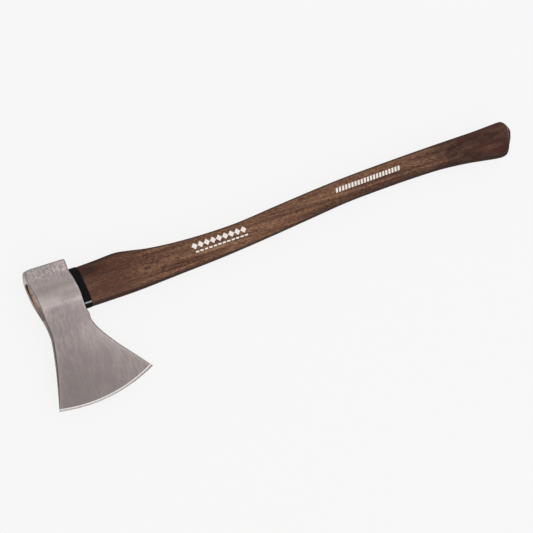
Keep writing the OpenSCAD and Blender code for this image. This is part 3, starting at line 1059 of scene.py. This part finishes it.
def paint_material():
    """Thin off-white print, patchy where it lies over the wood's pores."""
    s = Shade("print_paint", IOR=1.45)
    patch = s.noise(s.scaled((380, 900, 900)), 3.0, 0.65)
    streaks = s.noise(s.scaled((60, 1300, 1300)), 2.0, 0.6)
    thin = s.times(s.span(patch, 0.5, 0.75), s.span(streaks, 0.35, 0.65, 0.3, 1.0))
    colour = s.blend(s.span(streaks, 0.3, 0.7), (0.84, 0.80, 0.74), (0.93, 0.90, 0.85))
    colour = s.blend(s.times(thin, 0.40), colour, (0.32, 0.22, 0.17))
    return s.complete(colour, s.span(patch, 0.3, 0.7, 0.5, 0.68), s.bump(streaks, 0.15, 0.0002))


# -------- the studio
PALE = (0.9216, 0.9216, 0.9216)
FLOOR_RADIUS = 30.0
CAMERA_DISTANCE = 2.4555
CAMERA_TILT = math.radians(21.36)
CAMERA_TURN = math.radians(3.53)
CAMERA_ROLL = math.radians(22.0)
CAMERA_LENS = 128.33
CAMERA_AIM = Vector((-0.04085, 0.00299, 0.0))


def floor(level):
    """A plain pale floor. It shows to the camera and lights nothing."""
    bm = bmesh.new()
    bmesh.ops.create_circle(bm, cap_ends=True, segments=48, radius=FLOOR_RADIUS)
    mesh = bpy.data.meshes.new("floor")
    bm.to_mesh(mesh)
    bm.free()
    obj = bpy.data.objects.new("floor", mesh)
    bpy.context.scene.collection.objects.link(obj)
    obj.location.z = level
    material = bpy.data.materials.new("pale_floor")
    material.use_nodes = True
    shader = material.node_tree.nodes["Principled BSDF"]
    shader.inputs["Base Color"].default_value = (0.08, 0.08, 0.08, 1)
    shader.inputs["Roughness"].default_value = 1.0
    shader.inputs["Specular IOR Level"].default_value = 0.0
    shader.inputs["Emission Color"].default_value = (*PALE, 1)
    shader.inputs["Emission Strength"].default_value = 0.93
    mesh.materials.append(material)
    obj.visible_diffuse = False
    obj.visible_glossy = False
    obj.visible_shadow = False


def studio_world():
    """Soft light from above, dim below, and a plain pale backdrop for the camera."""
    world = bpy.data.worlds.new("studio")
    world.use_nodes = True
    tree = world.node_tree
    tree.nodes.clear()
    out = tree.nodes.new("ShaderNodeOutputWorld")
    place = tree.nodes.new("ShaderNodeTexCoord")
    parts = tree.nodes.new("ShaderNodeSeparateXYZ")
    tree.links.new(place.outputs["Generated"], parts.inputs[0])
    ramp = tree.nodes.new("ShaderNodeMapRange")
    ramp.interpolation_type = "SMOOTHSTEP"
    # From the height of the ray to the strength of the light: from low, from high, to low, to high.
    for i, value in enumerate((-0.35, 0.35, 0.42, 0.86), start=1):
        ramp.inputs[i].default_value = value
    tree.links.new(parts.outputs[2], ramp.inputs[0])
    light = tree.nodes.new("ShaderNodeBackground")
    tree.links.new(ramp.outputs[0], light.inputs["Strength"])
    light.inputs["Color"].default_value = (1.0, 0.985, 0.975, 1)
    backdrop = tree.nodes.new("ShaderNodeBackground")
    backdrop.inputs["Color"].default_value = (*PALE, 1)
    choice = tree.nodes.new("ShaderNodeMixShader")
    seen = tree.nodes.new("ShaderNodeLightPath")
    tree.links.new(seen.outputs["Is Camera Ray"], choice.inputs[0])
    tree.links.new(light.outputs[0], choice.inputs[1])
    tree.links.new(backdrop.outputs[0], choice.inputs[2])
    tree.links.new(choice.outputs[0], out.inputs["Surface"])
    bpy.context.scene.world = world


def softbox(name, centre, direction, distance, size, watts):
    """A rectangular soft light that faces the object from that direction."""
    data = bpy.data.lights.new(name, "AREA")
    data.shape = "RECTANGLE"
    data.size, data.size_y = size
    data.energy = watts
    lamp = bpy.data.objects.new(name, data)
    bpy.context.scene.collection.objects.link(lamp)
    d = Vector(direction).normalized()
    lamp.location = centre + d * distance
    lamp.rotation_mode = "QUATERNION"
    lamp.rotation_quaternion = d.to_track_quat("Z", "Y")


def camera(centre):
    """The camera looks down from the head's end, rolled so that the handle rises."""
    data = bpy.data.cameras.new("camera")
    data.sensor_width = 36.0
    data.lens = CAMERA_LENS
    cam = bpy.data.objects.new("camera", data)
    bpy.context.scene.collection.objects.link(cam)
    u = Vector((math.cos(CAMERA_TURN), math.sin(CAMERA_TURN), 0))
    v = Vector((-u.y, u.x, 0))
    up = Vector((0, 0, 1))
    right0 = math.cos(CAMERA_TILT) * u + math.sin(CAMERA_TILT) * up
    back = -math.sin(CAMERA_TILT) * u + math.cos(CAMERA_TILT) * up
    right = math.cos(CAMERA_ROLL) * right0 - math.sin(CAMERA_ROLL) * v
    top = math.sin(CAMERA_ROLL) * right0 + math.cos(CAMERA_ROLL) * v
    turn = Matrix((right, top, back)).transposed().to_4x4()
    turn.translation = centre + CAMERA_AIM + back * CAMERA_DISTANCE
    cam.matrix_world = turn
    bpy.context.scene.camera = cam


# -------- all together
X, Y = 0, 1


def object_shift():
    """How far the drawing moves, in millimetres, for its head to fill the CAD head's box."""
    low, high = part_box("axe_head")
    middle_z = (low.z + high.z) / 2
    return np.array([low.x / MM - TOE[X], high.y / MM - POLL_HEIGHT, middle_z / MM])


def placed(shift, axis, *values):
    """Drawn places along an axis, in metres in the row's frame."""
    return [(value + shift[axis]) * MM for value in values]


def build_head(shift):
    """The head, with its ground edge, and the scale and painted shade on the eye's wall."""
    head = axe_head(shift)
    smooth(head, 30)
    steel = steel_material(*placed(shift, Y, POLL_HEIGHT, 0, NECK_Y, BIT_Y),
                           *placed(shift, X, HEAD_MID_X, HEEL_X))
    strip = ground_material("ground_edge", (0.80, 0.75, 0.73), (0.95, 0.92, 0.90))
    # The outer bevel's dark steel is painted shade.
    outer = ground_material("ground_bevel_painted_shade", (0.24, 0.22, 0.215), (0.34, 0.315, 0.31))
    dress(head, [steel, strip, outer, scale_and_shade_material()], "head_steel", "axe_head")
    mark_head_parts(head, shift)


def build_handle(shift, darkening):
    """The handle, stained outside the eye and bare inside it."""
    knot = [placed(shift, axis, value)[0] for axis, value in enumerate(KNOT)]
    bare = bare_wood("bare_hickory", (0.62, 0.43, 0.29), (0.36, 0.20, 0.115), 0.0036, *darkening)
    stained = stained_wood(knot, *placed(shift, X, SHOULDER_X, GRIP_X, KNOB_X))
    wood = handle(shift)
    indices = [face.material_index for face in wood.data.polygons]
    dress(wood, [stained, bare], "handle_wood", "handle")
    wood.data.polygons.foreach_set("material_index", indices)


def build_wedges(shift, darkening):
    """The wooden wedge and the two steel ones across it."""
    wood = bare_wood("bare_wedge", (0.68, 0.52, 0.37), (0.42, 0.27, 0.165), 0.0021, *darkening)
    dress(eye_wedge(shift), wood, "wedge_wood", "eye_wedge")
    steel = wedge_steel_material()
    for number, side in ((1, 1), (2, -1)):
        wedge = steel_wedge(shift, side, f"wedge_steel_{number}")
        dress(wedge, steel, "wedge_steel", f"steel_wedge_{number}")


def build():
    """Every piece of the axe, in the row's frame."""
    shift = object_shift()
    darkening = placed(shift, Y, *DARKER_Y)
    build_head(shift)
    build_handle(shift, darkening)
    build_wedges(shift, darkening)
    dress(collar(shift), collar_material(*placed(shift, Y, *COLLAR_HIGHLIGHT)), "collar_black", "collar")
    paint = paint_material()
    dress(large_print(shift), paint, "print_paint")
    dress(small_print(shift), paint, "print_paint")


def studio():
    """Floor, light and camera around the CAD's box."""
    low, high = CAD_BOX
    centre = (low + high) / 2
    floor(low.z - 0.0005)
    studio_world()
    softbox("overhead", centre, (0.38, 0.20, 1.0), 1.7, (0.9, 0.14), 1.9)
    softbox("below", centre, (-0.35, -0.08, -0.93), 1.2, (0.9, 0.9), 1.6)
    softbox("front", centre, (0.1, -1.0, 0.80), 1.8, (1.6, 0.16), 3.0)
    camera(centre)
    view = bpy.context.scene.view_settings
    view.view_transform = "Standard"
    view.look = "None"


build()
studio()
